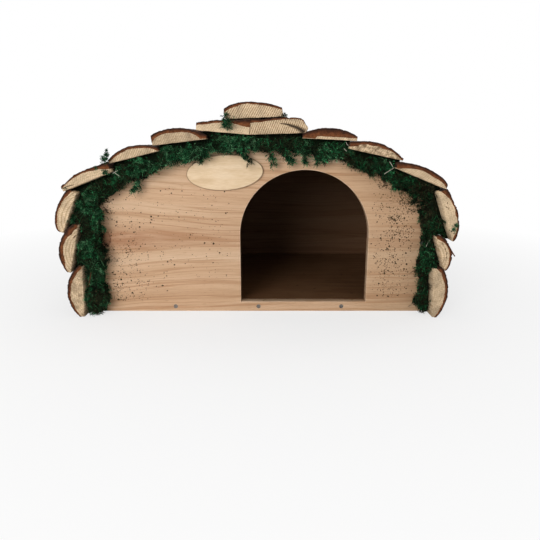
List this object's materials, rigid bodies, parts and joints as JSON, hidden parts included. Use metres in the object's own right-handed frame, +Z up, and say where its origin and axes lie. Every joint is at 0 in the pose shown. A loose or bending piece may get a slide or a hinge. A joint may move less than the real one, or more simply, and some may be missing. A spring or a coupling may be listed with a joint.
{
  "type": "hedgehog house",
  "caption": "Arched wooden hedgehog shelter: a board box with a round-topped doorway, lapped log slabs over roof and sides, a mossy rim and a bare oval plate.",
  "frame": {"origin": "on the ground, under the middle of the house's overall box", "axes": "+Z up, +X to the right seen from the front, front and doorway towards -Y"},
  "size_m": [0.4521, 0.33, 0.2411],
  "materials": {
    "board_wood": "sawn softwood board, unpainted",
    "slab_wood": "sawn log slab, pale end grain",
    "bark": "rough natural bark",
    "plate_wood": "thin pale plywood, unlettered",
    "felt": "dark waterproof roofing felt",
    "moss": "dyed dark green dried moss",
    "nail_steel": "plain wire nails"
  },
  "bodies": {
    "root": {"front_panel": "board_wood", "back_panel": "board_wood", "side_board_left": "board_wood", "side_board_right": "board_wood", "floor_board": "board_wood", "ridge_batten": "board_wood", "purlin_left": "board_wood", "purlin_right": "board_wood", "lining_left": "felt", "lining_right": "felt", "name_plate": "plate_wood", "moss_front": "moss", "moss_back": "moss", "slab_ridge": "slab_wood", "slab_left_1": "slab_wood", "slab_left_2": "slab_wood", "slab_left_3": "slab_wood", "slab_left_4": "slab_wood", "slab_left_5": "slab_wood", "slab_left_6": "slab_wood", "slab_left_7": "slab_wood", "slab_right_1": "slab_wood", "slab_right_2": "slab_wood", "slab_right_3": "slab_wood", "slab_right_4": "slab_wood", "slab_right_5": "slab_wood", "slab_right_6": "slab_wood", "slab_right_7": "slab_wood", "slab_bark": "bark", "slab_nails": "nail_steel", "box_nails": "nail_steel"}
  },
  "joints": []
}
